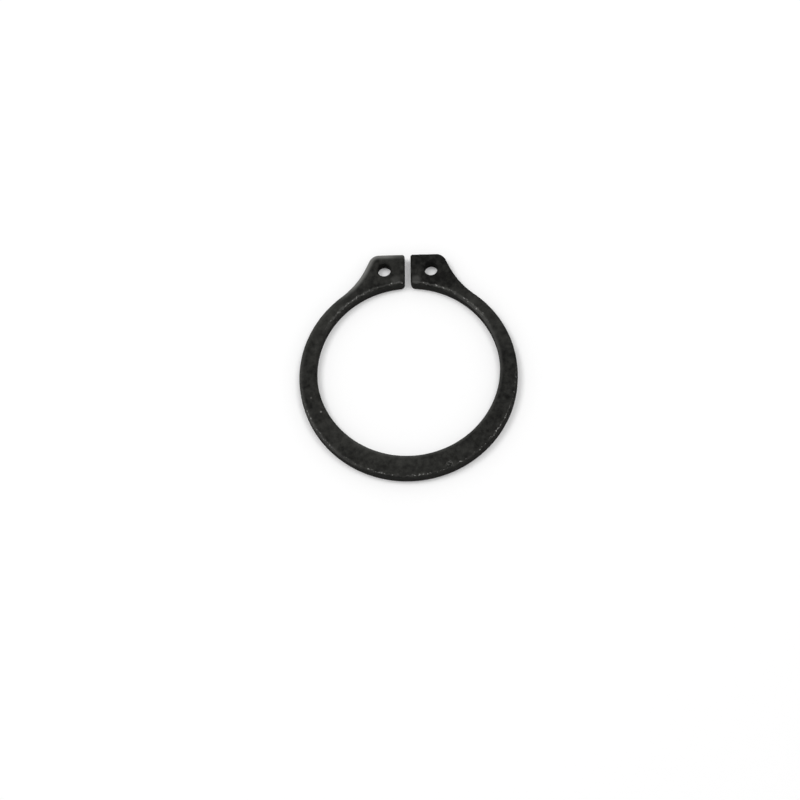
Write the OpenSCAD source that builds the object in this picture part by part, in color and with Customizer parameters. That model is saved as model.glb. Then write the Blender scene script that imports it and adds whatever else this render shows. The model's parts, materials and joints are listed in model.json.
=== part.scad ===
// Retaining ring for the groove of a shaft: a flat, open spring ring, stamped in one piece.
// The bore is a true circle and the outer edge is a circle set back from it, so the band is
// widest opposite the gap and narrows on both sides towards two lugs with plier holes.
// The ring lies with its lower face on z = 0 and the bore on the Z axis. The gap is on +Y.

/* [Ring] */
// Inner diameter of the ring while nothing spreads it
bore_d = 27.9; // [22:0.1:36]
// Thickness of the ring
ring_t = 1.9; // [1:0.05:2.5]
// Radial width of the band opposite the gap
back_w = 3.6; // [2.5:0.1:5]
// Radial width that the band narrows to at the gap, behind the lugs
front_w = 1.8; // [1:0.1:2.4]

/* [Gap] */
// Width of the gap between the two lugs
gap_w = 0.9; // [0.5:0.1:2.5]
// Radius of the corners where the gap opens into the bore
gap_inner_r = 0.7; // [0.4:0.05:1.2]
// Radius of the corners where the gap opens between the lug tops
gap_outer_r = 0.36; // [0.36:0.02:1]

/* [Lugs] */
// Height of the flat lug tops above the bore
lug_h = 5.1; // [4.6:0.1:6.5]
// Width of a lug top, from the gap to the corner as it is before rounding
lug_w = 5; // [4.6:0.1:6.5]
// Slope of the outer side of a lug, from the line of the tops
side_slope = 65; // [56:1:78]
// Radius of the outer corner of a lug
lug_corner_r = 1.7; // [0.6:0.1:2.2]
// Radius of the hollow that leads from a lug into the band, where the side is long enough
lug_fillet_r = 13; // [5:0.5:16]

/* [Plier holes] */
// Diameter of the hole in each lug
hole_d = 2; // [1.4:0.1:2.6]
// Distance from the gap to the middle of the hole
hole_from_gap = 3.15; // [2.4:0.05:3.6]
// Distance from the lug top to the middle of the hole
hole_from_top = 2.5; // [2.1:0.05:2.9]

/* [Edges] */
// Radius of the upper edges, which the stamping rolls over
roll_r = 0.34; // [0.2:0.02:0.36]
// Angle at which the rolled edge meets the face and the wall beside it
roll_lead = 9; // [8:1:15]
// Width of the small break along the lower edges
break_w = 0.08; // [0.04:0.01:0.2]

/* [Hidden] */
$fn = 144;

// Round corners and hollows run this far past the faces they join, so that faces cross cleanly
overlap = 0.002;
// Reach of the cutting shapes past the faces that they cut
waste = 0.1;
// Angle by which the hollow's edges run on beyond its two ends
run_on = 2;
// Shortest straight stretch on the side of a lug
side_min = 0.3;

bore_r = bore_d / 2;
gap_x = gap_w / 2;
top_y = bore_r + lug_h;
hole_c = [gap_x + hole_from_gap, top_y - hole_from_top];

// The outer circle, which is not concentric with the bore
rim_r = bore_r + (back_w + front_w) / 2;
rim_c = [0, (front_w - back_w) / 2];

// The lug's side runs down from its unrounded corner, and leaves off well inside the band
side_down = [cos(side_slope), -sin(side_slope)];
side_out = [sin(side_slope), cos(side_slope)];
side_top = [gap_x + lug_w, top_y];
side_end = side_top - ((side_top - rim_c) * side_down) * side_down;

// The rounded outer corner of the lug, between its top and its side
corner_in = lug_corner_r - overlap;
corner_c = side_top - corner_in * [tan(side_slope / 2), 1];

// The hollow may be no larger than leaves a straight stretch between it and that corner
side_start = side_top + (corner_in * tan(side_slope / 2) + side_min) * side_down - rim_c;
hollow_max = (side_start * side_start - pow(rim_r, 2)) / (2 * (rim_r - side_start * side_out));
hollow_r = min(lug_fillet_r, hollow_max);

// The hollow touches the lug's side and the outer circle, so its middle is found from both
hollow_in = hollow_r - overlap;
side_offset = side_top + hollow_in * side_out - rim_c;
offset_down = side_offset * side_down;
hollow_down = -offset_down - sqrt(pow(offset_down, 2) - side_offset * side_offset
                                  + pow(rim_r + hollow_in, 2));
hollow_foot = side_top + hollow_down * side_down;
hollow_c = hollow_foot + hollow_in * side_out;
hollow_a = atan2(hollow_c.y - rim_c.y, hollow_c.x);

// The two rounded corners of the gap, one at the bore and one at the lug top
inner_in = gap_inner_r - overlap;
inner_x = gap_x + inner_in;
inner_c = [inner_x, sqrt(pow(bore_r + inner_in, 2) - pow(inner_x, 2))];
inner_a = 180 + atan2(inner_c.y, inner_c.x);
outer_in = gap_outer_r - overlap;
outer_c = [gap_x + outer_in, top_y - outer_in];

// Middle of the rolled edge's arc, as far in from the wall as it is below the upper face
roll_in = roll_r * cos(roll_lead);

// Edges of the bore, of the outer circle and of the two lugs, each with an upper and a lower one
lug_edge_count = 8;
edge_count = 2 + 2 * lug_edge_count;

function toward(a) = [cos(a), sin(a)];

// Draws its shape on the right of the gap, and mirrored on the left
module both_sides() {
  children();
  mirror([1, 0, 0])
    children();
}

// Flat waste outside a rounded corner, between two directions from the corner's middle
module corner_waste(middle, r, from, to) {
  half = (to - from) / 2;
  far = r + waste;
  translate(middle)
    difference() {
      polygon([
        [0, 0],
        far * toward(from),
        far / cos(half) * toward(from + half),
        far * toward(to)
      ]);
      circle(r = r);
    }
}

// Web between the lug's side and the band, bounded by the hollow
module hollow_web() {
  difference() {
    polygon([hollow_c, hollow_foot, rim_c]);
    translate(hollow_c)
      circle(r = hollow_r);
  }
}

// Outline of the whole ring: a disc and the block of both lugs, less the bore, the gap,
// the corners and the plier holes
module flat_shape() {
  difference() {
    union() {
      translate(rim_c)
        circle(r = rim_r);
      polygon([
        side_end,
        side_top,
        [-side_top.x, side_top.y],
        [-side_end.x, side_end.y]
      ]);
      both_sides()
        hollow_web();
    }
    circle(r = bore_r);
    translate([-gap_x, 0])
      square([gap_w, top_y + waste]);
    both_sides() {
      corner_waste(inner_c, gap_inner_r, 180, inner_a);
      corner_waste(outer_c, gap_outer_r, 90, 180);
      corner_waste(corner_c, lug_corner_r, 90 - side_slope, 90);
      translate(hole_c)
        circle(d = hole_d);
    }
  }
}

// Section of the waste at the upper and lower edge of a wall. The wall is at x = 0, the metal
// lies on +x, and y is the height above the lower face
module edge_section() {
  difference() {
    translate([-waste, ring_t - roll_in])
      square([waste + roll_in, roll_in + waste]);
    translate([roll_in, ring_t - roll_in])
      circle(r = roll_r);
  }
  polygon([
    [-waste, -waste],
    [break_w + waste, -waste],
    [-waste, break_w + waste]
  ]);
}

// Edges of a round wall that has its metal inside the radius
module boss_edges(middle, r, from, to) {
  translate(middle)
    rotate_extrude(start = from, angle = to - from)
      translate([r, 0])
        mirror([1, 0])
          edge_section();
}

// Edges of a round wall that has its metal outside the radius
module bore_edges(middle, r, from = 0, to = 360) {
  translate(middle)
    rotate_extrude(start = from, angle = to - from)
      translate([r, 0])
        edge_section();
}

// Edges of a straight wall that has its metal on the left of its heading
module straight_edges(begin, heading, length) {
  translate(begin)
    rotate([90, 0, 90 + heading])
      linear_extrude(length)
        edge_section();
}

// Waste at one edge of a lug. They are numbered from the band round to the bore
module lug_edge(number) {
  if (number == 1)
    bore_edges(hollow_c, hollow_r, 270 - side_slope - run_on, 180 + hollow_a + run_on);
  if (number == 2)
    straight_edges(hollow_foot, 180 - side_slope, hollow_down + waste);
  if (number == 3)
    boss_edges(corner_c, lug_corner_r, 90 - side_slope, 90);
  if (number == 4)
    straight_edges(side_top + [waste, 0], 180, lug_w + 2 * waste);
  if (number == 5)
    boss_edges(outer_c, gap_outer_r, 90, 180);
  if (number == 6)
    straight_edges([gap_x, top_y + waste], 270, lug_h + gap_w + waste);
  if (number == 7)
    boss_edges(inner_c, gap_inner_r, 180, inner_a);
  if (number == 8)
    bore_edges(hole_c, hole_d / 2);
}

// Waste at one edge of the ring: the bore, the outer circle, then both lugs in turn
module edge(number) {
  if (number == 1)
    bore_edges([0, 0], bore_r);
  if (number == 2)
    boss_edges(rim_c, rim_r, 180 - hollow_a, 360 + hollow_a);
  if (number > 2)
    mirror([number % 2, 0, 0])
      lug_edge(ceil(number / 2) - 1);
}

// The ring with this many of its edges cut. Each edge is a cut of its own, because the waste
// of one almost touches that of the next
module edged(count) {
  if (count == 0)
    linear_extrude(ring_t)
      flat_shape();
  else
    difference() {
      edged(count - 1);
      edge(count);
    }
}

module retaining_ring() {
  color([0.16, 0.16, 0.15])
    edged(edge_count);
}

retaining_ring();
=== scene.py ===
import json
from functools import partial
from math import atan2, ceil, cos, pi, radians, sin, sqrt, tan

import bmesh
import bpy
from bpy.props import FloatProperty, FloatVectorProperty, IntProperty, PointerProperty
from bpy.types import Operator, Panel, PropertyGroup
from mathutils import Matrix, Vector

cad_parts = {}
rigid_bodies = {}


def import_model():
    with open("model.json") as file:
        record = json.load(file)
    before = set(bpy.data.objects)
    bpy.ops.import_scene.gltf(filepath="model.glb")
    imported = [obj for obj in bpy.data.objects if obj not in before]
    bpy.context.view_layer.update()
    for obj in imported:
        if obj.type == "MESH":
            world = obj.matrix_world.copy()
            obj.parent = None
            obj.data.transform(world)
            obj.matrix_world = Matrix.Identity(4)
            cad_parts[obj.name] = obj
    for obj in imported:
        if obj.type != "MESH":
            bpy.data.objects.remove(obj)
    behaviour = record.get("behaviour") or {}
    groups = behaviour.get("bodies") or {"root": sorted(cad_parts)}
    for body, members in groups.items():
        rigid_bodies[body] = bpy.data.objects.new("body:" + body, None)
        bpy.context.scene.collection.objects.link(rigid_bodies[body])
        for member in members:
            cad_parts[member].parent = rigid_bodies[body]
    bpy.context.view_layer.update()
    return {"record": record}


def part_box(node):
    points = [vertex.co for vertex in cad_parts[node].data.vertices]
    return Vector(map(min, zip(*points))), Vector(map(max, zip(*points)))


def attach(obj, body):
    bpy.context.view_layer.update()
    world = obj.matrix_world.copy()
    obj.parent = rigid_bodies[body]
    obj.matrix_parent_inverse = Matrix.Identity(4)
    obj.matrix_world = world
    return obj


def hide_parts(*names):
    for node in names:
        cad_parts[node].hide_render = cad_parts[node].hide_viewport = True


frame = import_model()

bl_info = {
    "name": "Retaining ring",
    "version": (1, 0, 0),
    "blender": (4, 5, 0),
    "location": "3D View > Sidebar > Ring",
    "description": "A stamped retaining ring of black spring steel, and the stage that it lies on",
    "category": "Add Mesh",
}

BODY = "root"
NODE = "retaining_ring"

# Lengths are in metres. The textures of the steel are laid out in millimetres
MM = 0.001

# Vertices nearer to each other than this are one, and places are compared within it
MERGE = 0.002 * MM

# Vertices of the circle that the roll is cut from, and rows of faces in the rest of the section
ROLL_VERTICES = 40
LAND_ROWS = 4
TORN_ROWS = 5

# Share of the torn zone that its topmost row of faces takes, just below the land
TORN_TOP_ROW = 0.12

# Edges that are sharper stay sharp, and a face whose normal is this near to upright is level
SMOOTH_ANGLE = radians(40)
LEVEL = 0.9999

# Share of its reach over which a mask for nearness is full, and of its radius for a spot
NEAR_SHARE = 0.2
SPOT_SHARE = 0.3

# The pattern of the streaks changes this much more slowly along Z, so they run down the walls
STREAK_FLATNESS = 0.06

# Vertices round the floor, and number and width of the strips in which its rim rises
FLOOR_VERTICES = 128
RIM_STEPS = 8
RIM_STRIP = 0.06

RING_LOW, RING_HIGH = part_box(NODE)
MOUNTS = {mount["name"]: mount for mount in frame["record"]["mounts"]}
PLIER_HOLE = MOUNTS["plier_hole_right"]

Length = partial(FloatProperty, min=0, precision=5, unit="LENGTH", subtype="DISTANCE")
Angle = partial(FloatProperty, unit="ROTATION", subtype="ANGLE")
Power = partial(FloatProperty, min=0, unit="POWER")
Place = partial(FloatVectorProperty, size=3, precision=5, unit="LENGTH", subtype="XYZ")
Colour = partial(FloatVectorProperty, size=3, min=0, max=1, subtype="COLOR")
Share = partial(FloatProperty, min=0, max=1, subtype="FACTOR")


def toward(angle):
    """Flat direction at an angle from +X, counterclockwise."""
    return Vector((cos(angle), sin(angle), 0))


class RingShape(PropertyGroup):
    """Sizes of the ring's outline and of the section of its walls"""

    thickness: Length(
        name="Thickness",
        description="Height of the upper face above the lower one",
        default=RING_HIGH.z,
    )
    bore_radius: Length(
        name="Bore radius",
        description="Inner radius of the ring while nothing spreads it",
        default=MOUNTS["shaft_bore"]["dims"]["r_mm"] * MM,
    )
    rim_radius: Length(
        name="Rim radius",
        description="Radius of the outer circle, which is set back from the bore",
        default=RING_HIGH.x,
    )
    rim_place: FloatProperty(
        name="Rim place",
        description="Place of the outer circle's middle along Y",
        default=RING_LOW.y + RING_HIGH.x,
        precision=5,
        unit="LENGTH",
        subtype="DISTANCE",
    )
    top: Length(
        name="Lug tops",
        description="Distance of the lug tops from the middle of the bore",
        default=RING_HIGH.y,
    )
    gap_width: Length(
        name="Gap width",
        description="Width of the gap between the two lugs",
        default=0.9 * MM,
    )
    gap_inner_radius: Length(
        name="Inner gap corner",
        description="Radius of the corner where the gap opens into the bore",
        default=0.7 * MM,
    )
    gap_outer_radius: Length(
        name="Outer gap corner",
        description="Radius of the corner where the gap opens between the lug tops",
        default=0.36 * MM,
    )
    lug_width: Length(
        name="Lug width",
        description="Width of a lug top, from the gap to its corner before rounding",
        default=5 * MM,
    )
    side_slope: Angle(
        name="Side slope",
        description="Slope of the outer side of a lug, from the line of the tops",
        default=radians(65),
    )
    lug_radius: Length(
        name="Lug corner",
        description="Radius of the outer corner of a lug",
        default=1.7 * MM,
    )
    hollow_radius: Length(
        name="Hollow",
        description="Radius of the hollow that leads from a lug into the band",
        default=13 * MM,
    )
    hole_radius: Length(
        name="Plier hole",
        description="Radius of the hole in each lug",
        default=PLIER_HOLE["dims"]["r_mm"] * MM,
    )
    hole_place: Place(
        name="Plier hole place",
        description="Middle of the hole in the lug on +X",
        default=PLIER_HOLE["pos_m"],
    )
    roll_radius: Length(
        name="Rolled edge",
        description="Radius of the upper edges, which the stamping rolls over",
        default=0.34 * MM,
    )
    roll_lead: Angle(
        name="Rolled edge lead",
        description="Angle at which the rolled edge meets the face and the wall",
        default=radians(9),
    )
    break_width: Length(
        name="Lower break",
        description="Width of the small break along the lower edges",
        default=0.08 * MM,
    )
    land_height: Length(
        name="Land",
        description="Height at which the smooth land of a wall ends and the torn zone begins",
        default=0.7 * MM,
    )
    torn_depth: Length(
        name="Torn zone",
        description="Depth by which the torn zone falls back from the land",
        default=0.03 * MM,
    )
    hollow_depth: Length(
        name="Torn hollows",
        description="Depth of the hollows that the tearing leaves in a wall",
        default=0.035 * MM,
    )
    hollow_size: Length(
        name="Torn hollow size",
        description="Size of the hollows that the tearing leaves in a wall",
        default=0.22 * MM,
    )
    dent_depth: Length(
        name="Dents",
        description="Depth of the shallow dents that handling leaves in the rolled edges",
        default=0.03 * MM,
    )
    dent_size: Length(
        name="Dent size",
        description="Size of the shallow dents that handling leaves in the rolled edges",
        default=0.9 * MM,
    )
    spacing: Length(
        name="Spacing",
        description="Distance between two sections along the outline",
        default=0.11 * MM,
    )
    corner_steps: IntProperty(
        name="Corner steps",
        description="Fewest sections round a corner",
        default=12,
        min=3,
    )

    @property
    def roll_in(self):
        """Distance of the roll's middle from the wall and from the upper face."""
        return self.roll_radius * cos(self.roll_lead)

    @property
    def roll_low(self):
        """Height of the roll's middle above the lower face."""
        return self.thickness - self.roll_in

    @property
    def roll_width(self):
        """Distance from the wall to the edge of the flat upper face."""
        return self.roll_in - self.roll_radius * sin(self.roll_lead)

    @property
    def torn_low(self):
        """Height at which the torn hollows begin, a little above the lower break."""
        return 1.5 * self.break_width

    @property
    def gap_x(self):
        """Place of the lug's wall in the gap."""
        return self.gap_width / 2

    @property
    def rim_centre(self):
        return Vector((0, self.rim_place, 0))

    @property
    def hole_centre(self):
        return Vector((self.hole_place[0], self.hole_place[1], 0))

    @property
    def side_down(self):
        """Direction of the lug's side, away from its top."""
        return toward(-self.side_slope)

    @property
    def side_out(self):
        """Direction in which the lug's side faces."""
        return toward(pi / 2 - self.side_slope)

    @property
    def side_top(self):
        """The lug's outer corner before rounding."""
        return Vector((self.gap_x + self.lug_width, self.top, 0))

    @property
    def corner_reach(self):
        """Length that the rounded corner takes from the top and from the side."""
        return self.lug_radius * tan(self.side_slope / 2)

    @property
    def lug_corner(self):
        """Middle of the lug's rounded outer corner."""
        return self.side_top - Vector((self.corner_reach, self.lug_radius, 0))

    @property
    def hollow_start(self):
        """Distance from the unrounded corner to the hollow, along the lug's side."""
        offset = self.side_top + self.hollow_radius * self.side_out - self.rim_centre
        down = offset.dot(self.side_down)
        reach = self.rim_radius + self.hollow_radius
        return -down - sqrt(down**2 - offset.length_squared + reach**2)

    @property
    def hollow_foot(self):
        """Point where the lug's side goes over into the hollow."""
        return self.side_top + self.hollow_start * self.side_down

    @property
    def hollow_centre(self):
        return self.hollow_foot + self.hollow_radius * self.side_out

    @property
    def hollow_angle(self):
        """Angle at which the hollow meets the rim, seen from the rim's middle."""
        offset = self.hollow_centre - self.rim_centre
        return atan2(offset.y, offset.x)

    @property
    def inner_corner(self):
        """Middle of the rounded corner between the bore and the gap."""
        x = self.gap_x + self.gap_inner_radius
        reach = self.bore_radius + self.gap_inner_radius
        return Vector((x, sqrt(reach**2 - x**2), 0))

    @property
    def outer_corner(self):
        """Middle of the rounded corner between the gap and the lug top."""
        inset = self.gap_outer_radius
        return Vector((self.gap_x + inset, self.top - inset, 0))


class RingFinish(PropertyGroup):
    """Colours and worn places of the black steel, and the highlights painted on its rolled edges"""

    black: Colour(
        name="Black",
        description="Colour of the blackened steel where the coat is thickest",
        default=(0.007, 0.007, 0.0066),
    )
    thin_black: Colour(
        name="Thin black",
        description="Colour of the blackened steel where the coat is thin",
        default=(0.036, 0.036, 0.033),
    )
    sheared: Colour(
        name="Sheared steel",
        description="Colour of the sheared walls, where the black is even",
        default=(0.019, 0.019, 0.0178),
    )
    torn: Colour(
        name="Torn steel",
        description="Colour of the torn zone low on the walls",
        default=(0.02, 0.0192, 0.0178),
    )
    # Also the colour of the highlights painted on the rolled edges and on the lug corners
    bare_and_highlight: Colour(
        name="Bare steel",
        description="Colour of the steel where the coat is rubbed off",
        default=(0.25, 0.25, 0.24),
    )
    roughness: Share(
        name="Roughness",
        description="Roughness of the coat on the faces",
        default=0.55,
    )
    roll_roughness: Share(
        name="Rolled edge roughness",
        description="Roughness of the rolled edges, which the die has smoothed",
        default=0.45,
    )
    wall_roughness: Share(
        name="Wall roughness",
        description="Roughness of the sheared walls",
        default=0.9,
    )
    gloss: Share(
        name="Gloss",
        description="Strength of the reflections at right angles to the surface",
        default=0.02,
    )
    roughness_spread: Share(
        name="Roughness spread",
        description="How much the mottling changes the roughness",
        default=0.2,
    )
    # Also makes the painted highlights on the rolled edges and lug corners look metallic
    bare_metallic: Share(
        name="Bare metal",
        description="How metallic the steel looks where the coat is rubbed off",
        default=0.6,
    )
    thinness: Share(
        name="Thinness",
        description="How far the coat's usual colour goes from the black to the thin black",
        default=0.37,
    )
    cloud_size: Length(
        name="Clouds",
        description="Size of the broad clouds in the coat",
        default=3.2 * MM,
    )
    mottle_size: Length(
        name="Mottling",
        description="Size of the mottling in the coat",
        default=0.8 * MM,
    )
    grain_size: Length(
        name="Grain",
        description="Size of the coat's crystals",
        default=0.12 * MM,
    )
    speck_size: Length(
        name="Specks",
        description="Size of the bright specks along the ridges",
        default=0.24 * MM,
    )
    streak_width: Length(
        name="Streaks",
        description="Width of the drawn streaks on the land of a wall",
        default=0.09 * MM,
    )
    relief: Share(
        name="Relief",
        description="Strength of the relief that is only shaded",
        default=0.7,
    )
    grain_height: Length(
        name="Grain height",
        description="Height of the coat's crystals, for shading",
        default=0.006 * MM,
    )
    streak_height: Length(
        name="Streak height",
        description="Height of the drawn streaks, for shading",
        default=0.006 * MM,
    )
    torn_height: Length(
        name="Torn height",
        description="Height of the torn zone's coarse grain, for shading",
        default=0.012 * MM,
    )
    # Also scales the highlights painted on the rolled edges and on the lug corners
    wear_and_highlights: FloatProperty(
        name="Wear",
        description="Strength of all the wear together",
        default=1,
        min=0,
    )
    outer_line: Share(
        name="Outer line",
        description="Strength of the worn line along the ridge inside the outline",
        default=0.1,
    )
    inner_line: Share(
        name="Inner line",
        description="Strength of the worn line along the ridge outside the bore",
        default=0.24,
    )
    ridge_specks: Share(
        name="Ridge specks",
        description="Strength of the bright specks along both ridges",
        default=0.9,
    )
    # The next three are painted highlights: bright bands where the light catches the rolled edges,
    # not a thinner coat
    lug_highlight: Share(
        name="Lug rub",
        description="Strength of the rubbed band round the left lug",
        default=0.42,
    )
    rim_highlight: Share(
        name="Rim rub",
        description="Strength of the rubbed band on the left of the outline",
        default=0.12,
    )
    bore_highlight: Share(
        name="Bore rub",
        description="Strength of the rubbed band on the bottom and the right of the bore",
        default=0.16,
    )


class RingStage(PropertyGroup):
    """Floor, lights and camera"""

    floor_radius: Length(
        name="Floor radius",
        description="Radius of the floor, up to the start of its raised rim",
        default=1.2,
    )
    floor_colour: Colour(
        name="Floor colour",
        description="Colour of the floor and its rim",
        default=(0.97, 0.97, 0.97),
    )
    glow: Share(
        name="Glow",
        description="Share of the light that comes through the paper, and so fills its shadows",
        default=0.1,
    )
    white_from: Length(
        name="White from",
        description="Distance from the ring's middle at which the paper begins to turn plain white",
        default=0.05,
    )
    white_beyond: Length(
        name="White beyond",
        description="Distance from the ring's middle beyond which the paper is plain white",
        default=0.25,
    )
    ambient: FloatProperty(
        name="Ambient light",
        description="Strength of the even light from all round",
        default=0.58,
        min=0,
    )
    lamp_width: Length(
        name="Lamp width",
        description="Width of each of the two square lamps",
        default=0.4,
    )
    top_power: Power(
        name="Top light",
        description="Power of the lamp above the ring",
        default=2.65,
    )
    top_place: Place(
        name="Top light place",
        description="Middle of the lamp above the ring",
        default=(0.27, 0.11, 0.91),
    )
    left_power: Power(
        name="Left light",
        description="Power of the high lamp on the left, which casts the soft shadows",
        default=3.35,
    )
    left_place: Place(
        name="Left light place",
        description="Middle of the high lamp on the left",
        default=(-0.38, 0.13, 0.86),
    )
    target: Place(
        name="Target",
        description="Point on the floor that the camera looks at",
        default=(-1.38 * MM, -4.28 * MM, 0),
    )
    distance: Length(
        name="Camera distance",
        description="Distance from the camera to its target",
        default=0.558,
    )
    azimuth: Angle(
        name="Azimuth",
        description="Direction of the camera round the ring, from -Y towards +X",
        default=radians(7.76),
    )
    elevation: Angle(
        name="Elevation",
        description="Height of the camera above the floor, as an angle",
        default=radians(68.7),
    )
    roll: Angle(
        name="Roll",
        description="Clockwise turn of the camera about its line of sight",
        default=radians(8.71),
    )
    lens: FloatProperty(
        name="Lens",
        description="Focal length of the camera",
        default=164.9,
        min=1,
        unit="CAMERA",
    )


class Socket:
    """A node's output that takes part in arithmetic: each operator adds a Math node."""

    def __init__(self, shader, node, name):
        self.shader = shader
        self.made = node
        self.link = node.outputs[name]

    def beside(self, name):
        """Another output of the same node."""
        return Socket(self.shader, self.made, name)

    def math(self, operation, *others):
        return self.shader.math(operation, self, *others)

    def __add__(self, other):
        return self.math("ADD", other)

    def __radd__(self, other):
        return self.shader.math("ADD", other, self)

    def __sub__(self, other):
        return self.math("SUBTRACT", other)

    def __rsub__(self, other):
        return self.shader.math("SUBTRACT", other, self)

    def __mul__(self, other):
        return self.math("MULTIPLY", other)

    def __rmul__(self, other):
        return self.shader.math("MULTIPLY", other, self)

    def __neg__(self):
        return self.math("MULTIPLY", -1)

    def __abs__(self):
        return self.math("ABSOLUTE")

    def __gt__(self, other):
        return self.math("GREATER_THAN", other)

    def __lt__(self, other):
        return self.math("LESS_THAN", other)

    def at_least(self, other):
        return self.math("MAXIMUM", other)

    def at_most(self, other):
        return self.math("MINIMUM", other)

    def rise(self, start, end):
        """0 below start and 1 above end, with a soft passage. It falls where end is below start."""
        return self.shader.node(
            "ShaderNodeMapRange",
            {"interpolation_type": "SMOOTHSTEP"},
            {"Value": self, "From Min": start, "From Max": end},
            "Result",
        )

    def near(self, value, reach):
        """1 where this value is about the given one, and 0 where it is further off than reach."""
        return abs(self - value).rise(reach, reach * NEAR_SHARE)

    def choose(self, yes, no):
        """yes where this value is 1, and no where it is 0."""
        return no + self * (yes - no)


class Shader:
    """The node tree of a material or of the world."""

    def __init__(self, owner):
        owner.use_nodes = True
        self.tree = owner.node_tree
        self.tree.nodes.clear()

    def node(self, kind, settings=None, inputs=None, output=0):
        """Add a node: its settings first, then the values and links of its sockets."""
        made = self.tree.nodes.new(kind)
        for name, value in (settings or {}).items():
            setattr(made, name, value)
        for name, value in (inputs or {}).items():
            if isinstance(value, Socket):
                self.tree.links.new(value.link, made.inputs[name])
            else:
                made.inputs[name].default_value = value
        return Socket(self, made, output) if made.outputs else made

    def math(self, operation, *values):
        return self.node("ShaderNodeMath", {"operation": operation}, dict(enumerate(values)))

    def vector(self, operation, values, output="Vector"):
        return self.node("ShaderNodeVectorMath", {"operation": operation}, values, output)

    def noise(self, place, size, detail=2, roughness=0.5, seed=0):
        """Soft noise from 0 to 1, with spots of about this size. Each seed has its own pattern."""
        inputs = {
            "Vector": place,
            "W": seed,
            "Scale": 1 / size,
            "Detail": detail,
            "Roughness": roughness,
        }
        return self.node("ShaderNodeTexNoise", {"noise_dimensions": "4D"}, inputs, "Fac")

    def blend(self, amount, low, high):
        """Mix of two colours."""
        return self.node("ShaderNodeMix", {"data_type": "RGBA"}, {0: amount, 6: low, 7: high}, 2)

    def length(self, x, y):
        """Length of a flat vector."""
        return (x * x + y * y).math("SQRT")


def deselect_all():
    """Leave edit mode, with nothing selected."""
    if bpy.context.mode != "OBJECT":
        bpy.ops.object.mode_set(mode="OBJECT")
    bpy.ops.object.select_all(action="DESELECT")


def select_where(test):
    """Select the vertices of the edited mesh whose place passes a test, and no others."""
    mesh = bmesh.from_edit_mesh(bpy.context.edit_object.data)
    bpy.ops.mesh.select_mode(type="VERT")
    for vertex in mesh.verts:
        vertex.select_set(test(vertex.co))
    mesh.select_flush_mode()
    bmesh.update_edit_mesh(bpy.context.edit_object.data)


def draw_section(shape, foot):
    """Draw a wall's section above its foot, in a plane of constant X with the metal on -Y.

    A circle gives the roll. It is cut down to the arc between the wall and the upper face, and the
    wall is drawn down from the arc's lower end to the foot.
    """
    lead, radius = shape.roll_lead, shape.roll_radius
    centre = foot + Vector((0, -shape.roll_in, shape.roll_low))
    wall_end = centre + radius * Vector((0, cos(lead), sin(lead)))
    bpy.ops.mesh.primitive_circle_add(
        vertices=ROLL_VERTICES, radius=radius, location=centre, rotation=(0, pi / 2, 0)
    )
    if bpy.context.mode == "OBJECT":
        bpy.ops.object.transform_apply()
        bpy.ops.object.mode_set(mode="EDIT")
    bpy.ops.mesh.bisect(
        plane_co=wall_end, plane_no=(0, -1, -1), clear_outer=True, threshold=MERGE / 10
    )
    select_where(lambda place: (place - wall_end).length < MERGE)

    land, depth, width = shape.land_height, shape.torn_depth, shape.break_width
    draw_down(wall_end.z - land, 0, LAND_ROWS)
    draw_down(TORN_TOP_ROW * land, TORN_TOP_ROW * depth, 1)
    draw_down((1 - TORN_TOP_ROW) * land - width, (1 - TORN_TOP_ROW) * depth, TORN_ROWS)
    draw_down(width, width, 1)
    bpy.ops.mesh.select_linked()


def draw_down(height, inward, rows):
    """Lengthen the section from its selected end, downwards and into the metal."""
    step = Vector((0, -inward, -height)) / rows
    bpy.ops.mesh.extrude_repeat(steps=rows, offset=step, scale_offset=1)


def sweep_round(shape, centre, radius, turn):
    """Carry the selected section on round a centre, counterclockwise where turn is above 0."""
    steps = max(shape.corner_steps, ceil(radius * abs(turn) / shape.spacing))
    bpy.ops.mesh.spin(steps=steps, angle=-turn, center=centre, axis=(0, 0, 1))


def sweep_along(shape, travel):
    """Carry the selected section straight on."""
    steps = ceil(travel.length / shape.spacing)
    bpy.ops.mesh.extrude_repeat(steps=steps, offset=travel / steps, scale_offset=1)


def sweep_outline(shape):
    """Carry the section round one half of the ring, from the back of the bore to the rim's."""
    inner, outer = shape.inner_corner, shape.outer_corner
    inner_angle = atan2(inner.y, inner.x)
    side_angle = pi / 2 - shape.side_slope
    sweep_round(shape, Vector(), shape.bore_radius, pi / 2 + inner_angle)
    sweep_round(shape, inner, shape.gap_inner_radius, -inner_angle)
    sweep_along(shape, Vector((0, outer.y - inner.y, 0)))
    sweep_round(shape, outer, shape.gap_outer_radius, -pi / 2)
    sweep_along(shape, Vector((shape.lug_corner.x - outer.x, 0, 0)))
    sweep_round(shape, shape.lug_corner, shape.lug_radius, -shape.side_slope)
    sweep_along(shape, (shape.hollow_start - shape.corner_reach) * shape.side_down)
    hollow_turn = shape.hollow_angle - side_angle
    sweep_round(shape, shape.hollow_centre, shape.hollow_radius, hollow_turn)
    sweep_round(shape, shape.rim_centre, shape.rim_radius, -shape.hollow_angle - pi / 2)


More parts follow.
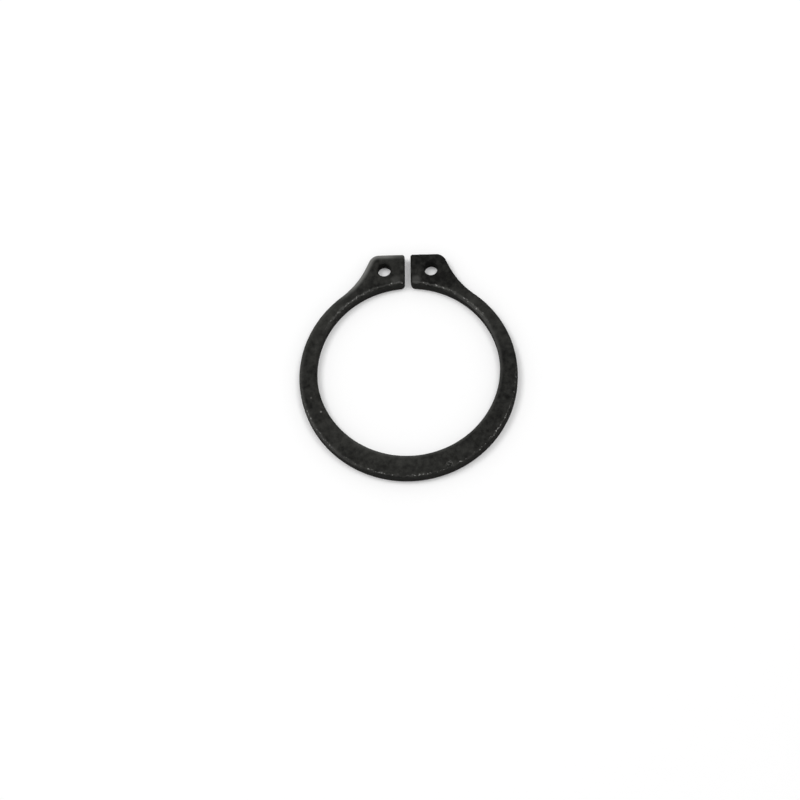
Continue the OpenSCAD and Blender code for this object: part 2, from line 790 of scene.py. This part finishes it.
def model_walls(shape):
    """Walls of the whole ring: those of one half, and their mirror image."""
    deselect_all()
    draw_section(shape, Vector((0, -shape.bore_radius, 0)))
    ring = bpy.context.edit_object
    sweep_outline(shape)
    bpy.ops.mesh.select_all(action="DESELECT")
    draw_section(shape, shape.hole_centre - Vector((0, shape.hole_radius, 0)))
    sweep_round(shape, shape.hole_centre, shape.hole_radius, 2 * pi)
    bpy.ops.mesh.select_all(action="SELECT")
    bpy.ops.mesh.remove_doubles(threshold=MERGE)
    bpy.ops.object.mode_set(mode="OBJECT")
    bpy.ops.object.modifier_add(type="MIRROR")
    mirror = ring.modifiers[-1]
    mirror.merge_threshold = MERGE
    bpy.ops.object.modifier_apply(modifier=mirror.name)
    return ring


def fill_face(height):
    """Close the flat face at a height, between the outline and the plier holes."""
    bpy.ops.mesh.select_all(action="DESELECT")
    bpy.ops.mesh.select_mode(type="EDGE")
    bpy.ops.mesh.select_non_manifold(use_wire=False, use_multi_face=False,
                                     use_non_contiguous=False, use_verts=False)
    mesh = bmesh.from_edit_mesh(bpy.context.edit_object.data)
    for edge in mesh.edges:
        level = all(abs(vertex.co.z - height) < MERGE for vertex in edge.verts)
        edge.select_set(edge.select and level)
    bmesh.update_edit_mesh(bpy.context.edit_object.data)
    bpy.ops.mesh.fill()


def close_faces(shape):
    """Fill the upper and the lower face, and turn all normals outward."""
    bpy.ops.object.mode_set(mode="EDIT")
    fill_face(shape.thickness)
    fill_face(0)
    bpy.ops.mesh.select_all(action="SELECT")
    bpy.ops.mesh.normals_make_consistent(inside=False)
    bpy.ops.object.mode_set(mode="OBJECT")


def press_in(ring, name, low, high, depth, size):
    """Press shallow hollows of a size into the part of the walls between two heights."""
    bpy.ops.object.mode_set(mode="EDIT")
    select_where(lambda place: low < place.z < high)
    bpy.ops.object.vertex_group_add()
    ring.vertex_groups.active.name = name
    bpy.ops.object.vertex_group_assign()
    bpy.ops.object.mode_set(mode="OBJECT")
    relief = bpy.data.textures.new(name, "CLOUDS")
    relief.noise_scale = size
    relief.noise_depth = 2
    bpy.ops.object.modifier_add(type="DISPLACE")
    press = ring.modifiers[-1]
    press.texture = relief
    press.texture_coords = "LOCAL"
    press.vertex_group = name
    press.strength = depth
    press.mid_level = 1
    bpy.ops.object.modifier_apply(modifier=press.name)


def smooth(ring):
    """Smooth shading for the walls and their rolled edges, and flat shading for the two faces."""
    bpy.ops.object.shade_smooth_by_angle(angle=SMOOTH_ANGLE)
    bpy.ops.object.mode_set(mode="EDIT")
    bpy.ops.mesh.select_mode(type="FACE")
    mesh = bmesh.from_edit_mesh(ring.data)
    for face in mesh.faces:
        face.select_set(abs(face.normal.z) > LEVEL)
    bmesh.update_edit_mesh(ring.data)
    bpy.ops.mesh.faces_shade_flat()
    bpy.ops.object.mode_set(mode="OBJECT")


def rounded(a, b, radius):
    """Depth below two walls that meet at a corner of this radius, from the depths below each."""
    shortfall = a.shader.length((radius - a).at_least(0), (radius - b).at_least(0))
    return radius - shortfall + (a.at_most(b) - radius).at_least(0)


def depths_below_walls(steel, x, y, shape):
    """Distances in millimetres from a point of the metal to its walls, seen from above.

    The first is to the nearest wall of any kind, the second to the bore and the third to the
    outer outline. x is the distance from the plane of symmetry, so one formula serves both halves.
    """

    def across(point):
        return x - point.x / MM, y - point.y / MM

    def radius_from(point):
        return steel.length(*across(point))

    def along(point, direction):
        from_x, from_y = across(point)
        return from_x * direction.x + from_y * direction.y

    bore = radius_from(Vector()) - shape.bore_radius / MM
    rim = shape.rim_radius / MM - radius_from(shape.rim_centre)
    gap = (x - shape.gap_x / MM).at_least(-y)
    top = shape.top / MM - y
    side = -along(shape.side_top, shape.side_out)

    corner = shape.lug_radius / MM - radius_from(shape.lug_corner)
    in_corner = (along(shape.lug_corner, shape.side_down) < 0) * (across(shape.lug_corner)[0] > 0)
    lug = in_corner.choose(corner, top.at_most(side))
    on_lug = along(shape.hollow_foot, shape.side_down) < 0

    hollow = radius_from(shape.hollow_centre) - shape.hollow_radius / MM
    past_rim = shape.hollow_centre - shape.rim_centre
    before_rim = along(shape.hollow_centre, Vector((-past_rim.y, past_rim.x, 0))) > 0
    outline = on_lug.choose(lug, before_rim.choose(hollow, rim))

    inner = rounded(gap, bore, shape.gap_inner_radius / MM)
    outer = rounded(gap, top, shape.gap_outer_radius / MM)
    hole = radius_from(shape.hole_centre) - shape.hole_radius / MM
    return outline.at_most(inner).at_most(outer).at_most(hole), bore, outline


class SteelPoint:
    """Sockets that tell where a shaded point of the ring lies.

    Lengths are in millimetres. Masks run from 0 to 1, with soft passages.
    """

    def __init__(self, steel, shape):
        metres = steel.node("ShaderNodeTexCoord", output="Object")
        self.place = steel.vector("SCALE", {0: metres, "Scale": 1 / MM})
        self.x = steel.node("ShaderNodeSeparateXYZ", inputs={0: self.place}, output="X")
        self.y, self.z = self.x.beside("Y"), self.x.beside("Z")
        depth, self.bore, self.outline = depths_below_walls(steel, abs(self.x), self.y, shape)

        # Masks of the flat top, of the rolled edge and of the wall below it, which fade over
        # about a tenth of a millimetre
        top = shape.thickness / MM
        roll_low = shape.roll_low / MM
        self.roll_width = shape.roll_width / MM
        self.on_top = self.z.rise(top - 0.1, top - 0.03)
        self.above_wall = self.z.rise(roll_low, roll_low + 0.14)
        near_edge = depth.rise(self.roll_width + 0.06, self.roll_width - 0.04)
        self.on_roll = near_edge * self.z.rise(roll_low - 0.05, roll_low)
        self.on_wall = depth.rise(0.12, 0.06) * self.z.rise(roll_low + 0.12, roll_low - 0.05)

        # The land ends in an uneven line, and the torn zone lies below it
        uneven = steel.noise(self.place, 0.5, seed=3) - 0.5
        land_end = shape.land_height / MM + uneven * 0.12
        self.torn = self.on_wall * (self.z - land_end).rise(0.03, -0.03)


def thin_coat(steel, at, finish, mottle, grain):
    """0 where the black coat is thickest and 1 where it is thinnest.

    It is thin on the shoulders below the lugs and along the lower left of the bore, and thick on
    the right lug and the right of the band.
    """
    clouds = steel.noise(at.place, finish.cloud_size / MM, detail=3, seed=11).rise(0.28, 0.74)
    shoulders = at.y.rise(2, 8) * at.y.rise(14, 11)
    lower_left = at.bore.rise(2.4, 0.2) * at.y.rise(-5, -11) * at.x.rise(6, -2)
    right_lug = at.x.rise(-1, 1) * at.y.rise(12, 15)
    right_side = at.x.rise(4, 13)
    above_back = at.y.rise(-12, -5)
    lean = (shoulders * 0.3 + lower_left * 0.3
            - right_lug * 0.26 - right_side * 0.14 - above_back * 0.04)

    # Noise seldom leaves its middle by much, so the mottling is strengthened
    uneven = clouds * 0.2 + (mottle - 0.5) * 1.9 + (grain - 0.5) * 0.6
    return (finish.thinness + lean + uneven).at_least(0).at_most(1)


def worn_ridges(steel, at, finish, specks):
    """Wear on the ridges that rub on other parts: a soft line, and bright specks about it.

    They are the ridge along the lower half of the outline, and the one along the upper half of
    the bore, where the line is wider.
    """
    stray = (steel.noise(at.place, 0.6, detail=1, seed=31) - 0.5) * 0.8
    outer = (at.outline + stray).near(at.roll_width, reach=0.17) * at.y.rise(1, -5)
    inner = (at.bore + stray).near(at.roll_width + 0.12, reach=0.24) * at.y.rise(6, 11)
    worn_stretch = steel.noise(at.place, 4, detail=1, seed=2).rise(0.4, 0.62)
    line = (outer * finish.outer_line + inner * finish.inner_line) * (0.3 + worn_stretch * 0.4)
    bright = (outer + inner).at_most(1) * (specks + worn_stretch * 0.05).rise(0.58, 0.68)
    return (line + bright * finish.ridge_specks) * at.on_top


def painted_edge_highlights(at, finish):
    """Painted highlights: soft bright bands on the rolled edges where the light from the upper left
    catches them, painted in the colour of rubbed-off steel.

    The one round the left lug is strong. Those on the left of the outline and on the bottom and
    the right of the bore are faint.
    """
    left_lug = at.x.rise(0, -0.3) * (at.x.rise(-1.2, -3.5) + 0.6) * at.y.rise(11, 15)
    left_side = at.x.rise(-5, -11)
    bottom_and_right = (at.x - at.y * 0.8).rise(-4, 2)
    # Painted highlights on the rolled edges that face the light from the upper left
    painted_bands = (at.outline.rise(0.95, 0.1) * left_lug * finish.lug_highlight
             + at.outline.rise(0.75, 0) * left_side * finish.rim_highlight
             + at.bore.rise(0.65, 0) * bottom_and_right * finish.bore_highlight)
    return painted_bands * at.above_wall


def marks_and_corner_highlights(steel, at, specks):
    """Single spots and a scuff on the upper face, each in its place, and painted highlights on the
    lug corners.

    They are two bright spots on the left of the band, a scuff at the lower right, and a painted
    highlight where the light catches the rolled corner of each lug between the gap and the bore.
    """

    def spot(x, y, radius, strength):
        return steel.length(at.x - x, at.y - y).rise(radius, radius * SPOT_SHARE) * strength

    spots = (spot(-13.3, -6.6, radius=0.22, strength=0.5)
             + spot(-14.8, -4.3, radius=0.2, strength=0.25))
    scuff = spot(6.2, -15.5, radius=0.8, strength=0.3) * specks.rise(0.46, 0.62)
    # Painted highlight: light catching the rolled corner of each lug between the gap and the bore
    painted_corner_highlights = (spot(1.3, 14.8, radius=1, strength=0.13)
               + spot(-1.8, 14.8, radius=1, strength=0.08))
    return (spots + scuff + painted_corner_highlights) * at.on_top


def shaded_relief(steel, at, finish, mottle, grain):
    """Bump of the coat's grain, of the drawn streaks on the land and of the coarse torn zone."""
    drawn_down = steel.vector("MULTIPLY", {0: at.place, 1: (1, 1, STREAK_FLATNESS)})
    streaks = steel.noise(drawn_down, finish.streak_width / MM, detail=2, roughness=0.6, seed=14)
    land = at.on_wall * (1 - at.torn)
    height = (grain * finish.grain_height + land * streaks * finish.streak_height
              + at.torn * mottle * finish.torn_height)
    return steel.node(
        "ShaderNodeBump",
        inputs={"Strength": finish.relief, "Distance": 1.0, "Height": height},
    )


def black_steel(shape, finish):
    """Oiled black coat on spring steel, rubbed along the edges that touch other parts, with
    highlights painted on the rolled edges and the lug corners where light catches them.
    """
    material = bpy.data.materials.new("black_spring_steel")
    steel = Shader(material)
    at = SteelPoint(steel, shape)
    mottle = steel.noise(at.place, finish.mottle_size / MM, detail=3, roughness=0.6, seed=5)
    grain = steel.noise(at.place, finish.grain_size / MM, detail=2, roughness=0.65, seed=8)
    specks = steel.noise(at.place, finish.speck_size / MM, detail=2, roughness=0.6, seed=21)

    # Real worn ridges, spots and a scuff, together with highlights painted on the rolled edges and
    # lug corners, all shown in the colour of rubbed-off steel
    wear_and_highlights = (worn_ridges(steel, at, finish, specks) + painted_edge_highlights(at, finish)
            + marks_and_corner_highlights(steel, at, specks))
    bare_and_highlight = (wear_and_highlights * finish.wear_and_highlights).at_most(1)
    thin = thin_coat(steel, at, finish, mottle, grain)
    coat = steel.blend(thin, (*finish.black, 1), (*finish.thin_black, 1))
    sheared = steel.blend(at.on_wall, coat, (*finish.sheared, 1))
    walls = steel.blend(at.torn, sheared, (*finish.torn, 1))

    smooth_roughness = at.on_roll.choose(finish.roll_roughness, finish.roughness)
    even_roughness = at.on_wall.choose(finish.wall_roughness, smooth_roughness)
    roughness = even_roughness + (mottle - 0.5) * finish.roughness_spread
    shader = steel.node(
        "ShaderNodeBsdfPrincipled",
        inputs={
            "Base Color": steel.blend(bare_and_highlight, walls, (*finish.bare_and_highlight, 1)),
            "Metallic": bare_and_highlight * finish.bare_metallic,
            "Roughness": roughness.at_least(0.2).at_most(1),
            "Specular IOR Level": finish.gloss,
            "Normal": shaded_relief(steel, at, finish, mottle, grain),
        },
    )
    steel.node("ShaderNodeOutputMaterial", inputs={"Surface": shader})
    return material


class RING_OT_model(Operator):
    """Model the retaining ring and give it its blackened finish"""

    bl_idname = "retaining_ring.model"
    bl_label = "Model the ring"
    bl_options = {"REGISTER", "UNDO"}

    def execute(self, context):
        shape = context.scene.ring_shape
        ring = model_walls(shape)
        close_faces(shape)
        press_in(ring, "torn_zone", shape.torn_low, shape.land_height,
                 shape.hollow_depth, shape.hollow_size)
        press_in(ring, "rolled_edge", shape.roll_low, shape.thickness - MERGE,
                 shape.dent_depth, shape.dent_size)
        smooth(ring)
        ring.name = ring.data.name = "ring_of_black_steel"
        ring.data.materials.append(black_steel(shape, context.scene.ring_finish))
        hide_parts(NODE)
        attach(ring, BODY)
        return {"FINISHED"}


def floor_material(stage):
    """Translucent white paper, whose shadows are light. Far from the ring it is plain white."""
    material = bpy.data.materials.new("stage_paper")
    paper = Shader(material)
    place = paper.node("ShaderNodeTexCoord", output="Object")
    distance = paper.vector("LENGTH", {0: place}, "Value")
    camera = paper.node("ShaderNodeLightPath", output="Is Camera Ray")
    seen = camera.at_least(camera.beside("Is Glossy Ray")).at_least(
        camera.beside("Is Transmission Ray"))
    far = distance.rise(stage.white_from, stage.white_beyond)
    lit = paper.node("ShaderNodeBsdfDiffuse", inputs={"Color": (*stage.floor_colour, 1)})
    white = paper.node("ShaderNodeEmission", inputs={"Strength": 1})
    mixed = paper.node(
        "ShaderNodeMixShader",
        inputs={0: seen * (far + stage.glow).at_most(1), 1: lit, 2: white},
    )
    paper.node("ShaderNodeOutputMaterial", inputs={"Surface": mixed})
    return material


def model_floor(stage):
    """Round floor whose outer part curves up into a low rim, so that no horizon shows."""
    deselect_all()
    bpy.ops.mesh.primitive_circle_add(vertices=FLOOR_VERTICES, radius=stage.floor_radius,
                                      fill_type="NGON")
    floor = bpy.context.object
    bpy.ops.object.mode_set(mode="EDIT")
    bpy.ops.mesh.select_mode(type="EDGE")
    bpy.ops.mesh.select_all(action="SELECT")
    bpy.ops.mesh.region_to_loop()
    reach = stage.floor_radius
    for step in range(RIM_STEPS):
        slope = (step + 0.5) / RIM_STEPS * pi / 2
        bpy.ops.mesh.extrude_edges_move(
            TRANSFORM_OT_translate={"value": (0, 0, RIM_STRIP * sin(slope))})
        grown = reach + RIM_STRIP * cos(slope)
        bpy.ops.transform.resize(value=(grown / reach, grown / reach, 1),
                                 center_override=(0, 0, 0))
        reach = grown
    bpy.ops.object.mode_set(mode="OBJECT")
    bpy.ops.object.shade_smooth()
    floor.name = "stage_floor"
    floor.data.materials.append(floor_material(stage))


def add_lamp(name, power, width, place):
    """Square soft lamp at a place, aimed at the ring."""
    bpy.ops.object.light_add(type="AREA", location=place)
    lamp = bpy.context.object
    lamp.name = name
    lamp.data.energy = power
    lamp.data.shape = "SQUARE"
    lamp.data.size = width
    lamp.rotation_euler = place.to_track_quat("Z", "Y").to_euler()


def add_camera(stage):
    """Camera in the place from which the photograph was taken."""
    bpy.ops.object.camera_add()
    camera = bpy.context.object
    camera.name = "photo_camera"
    turn = (Matrix.Rotation(stage.azimuth, 4, "Z")
            @ Matrix.Rotation(pi / 2 - stage.elevation, 4, "X")
            @ Matrix.Rotation(-stage.roll, 4, "Z"))
    camera.matrix_world = (Matrix.Translation(stage.target) @ turn
                           @ Matrix.Translation((0, 0, stage.distance)))
    camera.data.lens = stage.lens
    camera.data.clip_start = 0.01
    bpy.context.scene.camera = camera


class RING_OT_stage(Operator):
    """Set the floor, the lights and the camera round the ring"""

    bl_idname = "retaining_ring.stage"
    bl_label = "Set the stage"
    bl_options = {"REGISTER", "UNDO"}

    def execute(self, context):
        stage = context.scene.ring_stage
        model_floor(stage)
        add_lamp("top_lamp", stage.top_power, stage.lamp_width, stage.top_place)
        add_lamp("left_lamp", stage.left_power, stage.lamp_width, stage.left_place)
        add_camera(stage)
        world = bpy.data.worlds.new("studio")
        context.scene.world = world
        air = Shader(world)
        light = air.node("ShaderNodeBackground", inputs={"Strength": stage.ambient})
        air.node("ShaderNodeOutputWorld", inputs={"Surface": light})
        context.scene.view_settings.view_transform = "Standard"
        return {"FINISHED"}


class RING_PT_panel(Panel):
    """Sizes, finish and stage of the retaining ring"""

    bl_label = "Retaining ring"
    bl_idname = "RING_PT_panel"
    bl_space_type = "VIEW_3D"
    bl_region_type = "UI"
    bl_category = "Ring"

    def draw(self, context):
        scene = context.scene
        for group in (scene.ring_shape, scene.ring_finish, scene.ring_stage):
            box = self.layout.box()
            for name in group.__annotations__:
                box.prop(group, name)
        self.layout.operator(RING_OT_model.bl_idname)
        self.layout.operator(RING_OT_stage.bl_idname)


CLASSES = (RingShape, RingFinish, RingStage, RING_OT_model, RING_OT_stage, RING_PT_panel)


def register():
    for cls in CLASSES:
        bpy.utils.register_class(cls)
    bpy.types.Scene.ring_shape = PointerProperty(type=RingShape)
    bpy.types.Scene.ring_finish = PointerProperty(type=RingFinish)
    bpy.types.Scene.ring_stage = PointerProperty(type=RingStage)


def unregister():
    del bpy.types.Scene.ring_stage
    del bpy.types.Scene.ring_finish
    del bpy.types.Scene.ring_shape
    for cls in reversed(CLASSES):
        bpy.utils.unregister_class(cls)


def main():
    register()
    bpy.ops.retaining_ring.model()
    bpy.ops.retaining_ring.stage()


if __name__ == "__main__":
    main()
